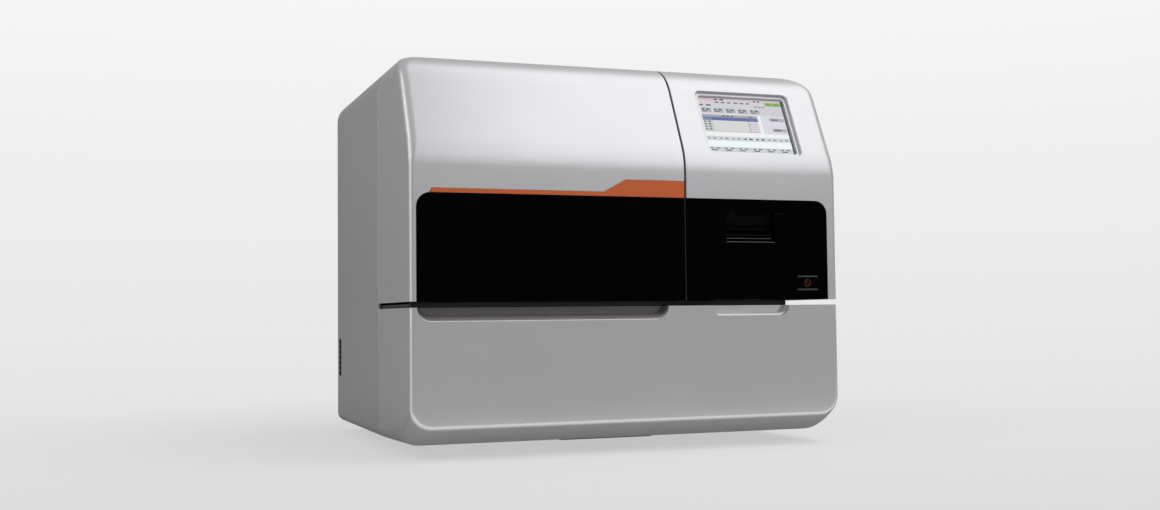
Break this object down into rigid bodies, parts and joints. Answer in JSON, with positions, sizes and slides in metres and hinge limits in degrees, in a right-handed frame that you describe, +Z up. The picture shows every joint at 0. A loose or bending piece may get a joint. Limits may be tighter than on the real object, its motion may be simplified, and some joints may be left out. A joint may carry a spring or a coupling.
{
  "type": "coagulation analyzer",
  "caption": "Bench-top coagulation analyzer with a hinged light shield cover, slanted touch screen, built-in printer and a sampling arm over racks.",
  "frame": {"origin": "on the bench under the middle of the casing", "axes": "+X to the user's right, -Y towards the user, +Z up"},
  "size_m": [0.566, 0.49, 0.49],
  "materials": {
    "silver_paint": "fine satin silver-grey paint on sheet metal",
    "silver_moulding": "fine satin silver-grey paint on moulded plastic",
    "black_gloss": "polished near-black plastic",
    "orange_film": "smooth orange film",
    "plated_steel": "dull plated steel",
    "display_glass": "smooth touch surface",
    "black_plastic": "fine-grained black plastic",
    "rubber": "matte rubber",
    "grey_plastic": "fine-grained grey plastic",
    "paper": "plain thermal paper",
    "aluminium": "milled, satin anodised",
    "clear_plastic": "clear moulded plastic",
    "white_plastic": "smooth off-white plastic",
    "board_green": "solder-masked board"
  },
  "bodies": {
    "casing": {"base_filter_tray": "black_plastic", "base_plate": "plated_steel", "chamber_rear_wall": "plated_steel", "cover_hinge_bracket": "plated_steel", "cover_hinge_pin": "plated_steel", "deck_plate": "black_plastic", "detector_block": "aluminium", "diluter_body": "grey_plastic", "display_cover": "silver_moulding", "divider_wall": "plated_steel", "fan_housing": "black_plastic", "foot_front_left": "rubber", "foot_front_right": "rubber", "foot_rear_left": "rubber", "foot_rear_right": "rubber", "interface_ports": "plated_steel", "lcd_touch_screen": "display_glass", "left_side_plate": "plated_steel", "lower_front_cover": "silver_moulding", "main_board": "board_green", "main_cover": "silver_paint", "paper_outlet_guide": "black_plastic", "power_inlet": "black_plastic", "power_supply": "aluminium", "print_head": "aluminium", "printer_frame": "grey_plastic", "printer_window_panel": "black_gloss", "rear_panel": "silver_paint", "rear_screw_high_left": "plated_steel", "rear_screw_high_right": "plated_steel", "rear_screw_low_left": "plated_steel", "rear_screw_low_right": "plated_steel", "right_side_plate": "plated_steel", "rinse_cup": "white_plastic", "side_vent_grille": "black_plastic", "stop_button_housing": "black_plastic", "vacuum_pump": "grey_plastic", "x_drive_motor": "black_plastic", "x_rail": "aluminium"},
    "measuring_cover": {"light_shield_cover": "silver_moulding", "cover_window": "black_gloss", "cover_stripe": "orange_film", "cover_hinge_leaf": "plated_steel"},
    "printer_door": {"printer_cover": "black_gloss"},
    "stop_key": {"stop_button": "black_plastic"},
    "power_switch": {"power_rocker": "black_plastic"},
    "fan_wheel": {"fan_rotor": "black_plastic"},
    "platen": {"platen_roller": "rubber"},
    "roll": {"paper_roll": "paper"},
    "x_arm": {"x_carriage": "aluminium", "y_arm": "aluminium"},
    "x_screw": {"x_lead_screw": "plated_steel"},
    "y_carriage": {"probe_carriage": "aluminium"},
    "probe": {"probe_holder": "grey_plastic", "sample_probe": "plated_steel"},
    "plunger": {"diluter_plunger": "aluminium"},
    "sample_rack_body": {"sample_rack": "grey_plastic"},
    "reagent_rack_body": {"reagent_rack": "aluminium"},
    "reaction_tubes_body": {"reaction_tubes": "clear_plastic"},
    "waste_box_body": {"tube_waste_box": "white_plastic"}
  },
  "joints": [
    {"name": "light_shield_cover_hinge", "type": "hinge", "parent": "casing", "child": "measuring_cover", "pos_m": [-0.10825, -0.067, 0.484], "axis": [-1, 0, 0], "range_deg": [0, 65]},
    {"name": "printer_cover_hinge", "type": "hinge", "parent": "casing", "child": "printer_door", "pos_m": [0.1565, -0.243, 0.2955], "axis": [-1, 0, 0], "range_deg": [0, 90]},
    {"name": "stop_button_press", "type": "slide", "parent": "casing", "child": "stop_key", "axis": [0, 1, 0], "range_m": [0, 0.0025], "stiffness_N_per_m": 400, "springref_m": -0.001},
    {"name": "power_switch_rock", "type": "hinge", "parent": "casing", "child": "power_switch", "pos_m": [-0.225, 0.2403, 0.0739], "axis": [1, 0, 0], "range_deg": [0, 16]},
    {"name": "fan_spin", "type": "hinge", "parent": "casing", "child": "fan_wheel", "pos_m": [0.15, 0.22545, 0.3], "axis": [0, 1, 0], "continuous": true},
    {"name": "paper_feed", "type": "hinge", "parent": "casing", "child": "platen", "pos_m": [0.156, -0.222, 0.266], "axis": [1, 0, 0], "continuous": true},
    {"name": "paper_roll_turn", "type": "hinge", "parent": "casing", "child": "roll", "pos_m": [0.156, -0.184, 0.226], "axis": [1, 0, 0], "continuous": true},
    {"name": "arm_x_slide", "type": "slide", "parent": "casing", "child": "x_arm", "axis": [1, 0, 0], "range_m": [-0.11, 0.125]},
    {"name": "x_screw_turn", "type": "hinge", "parent": "casing", "child": "x_screw", "pos_m": [-0.1, 0.0497, 0.385], "axis": [1, 0, 0], "continuous": true},
    {"name": "probe_y_slide", "type": "slide", "parent": "x_arm", "child": "y_carriage", "axis": [0, 1, 0], "range_m": [-0.118, 0.05]},
    {"name": "probe_z_slide", "type": "slide", "parent": "y_carriage", "child": "probe", "axis": [0, 0, 1], "range_m": [-0.06, 0]},
    {"name": "diluter_stroke", "type": "slide", "parent": "casing", "child": "plunger", "axis": [0, 0, 1], "range_m": [0, 0.04]},
    {"name": "sample_rack_lift", "type": "slide", "parent": "casing", "child": "sample_rack_body", "axis": [0, 0, 1], "range_m": [0, 0.04]},
    {"name": "reagent_rack_lift", "type": "slide", "parent": "casing", "child": "reagent_rack_body", "axis": [0, 0, 1], "range_m": [0, 0.06]},
    {"name": "reaction_tubes_lift", "type": "slide", "parent": "casing", "child": "reaction_tubes_body", "axis": [0, 0, 1], "range_m": [0, 0.04]},
    {"name": "waste_box_lift", "type": "slide", "parent": "casing", "child": "waste_box_body", "axis": [0, 0, 1], "range_m": [0, 0.12]}
  ],
  "couplings": [
    {"joint": "paper_feed", "follows": "paper_roll_turn", "ratio": -4},
    {"joint": "x_screw_turn", "follows": "arm_x_slide", "rad_per_m": 314.16}
  ]
}
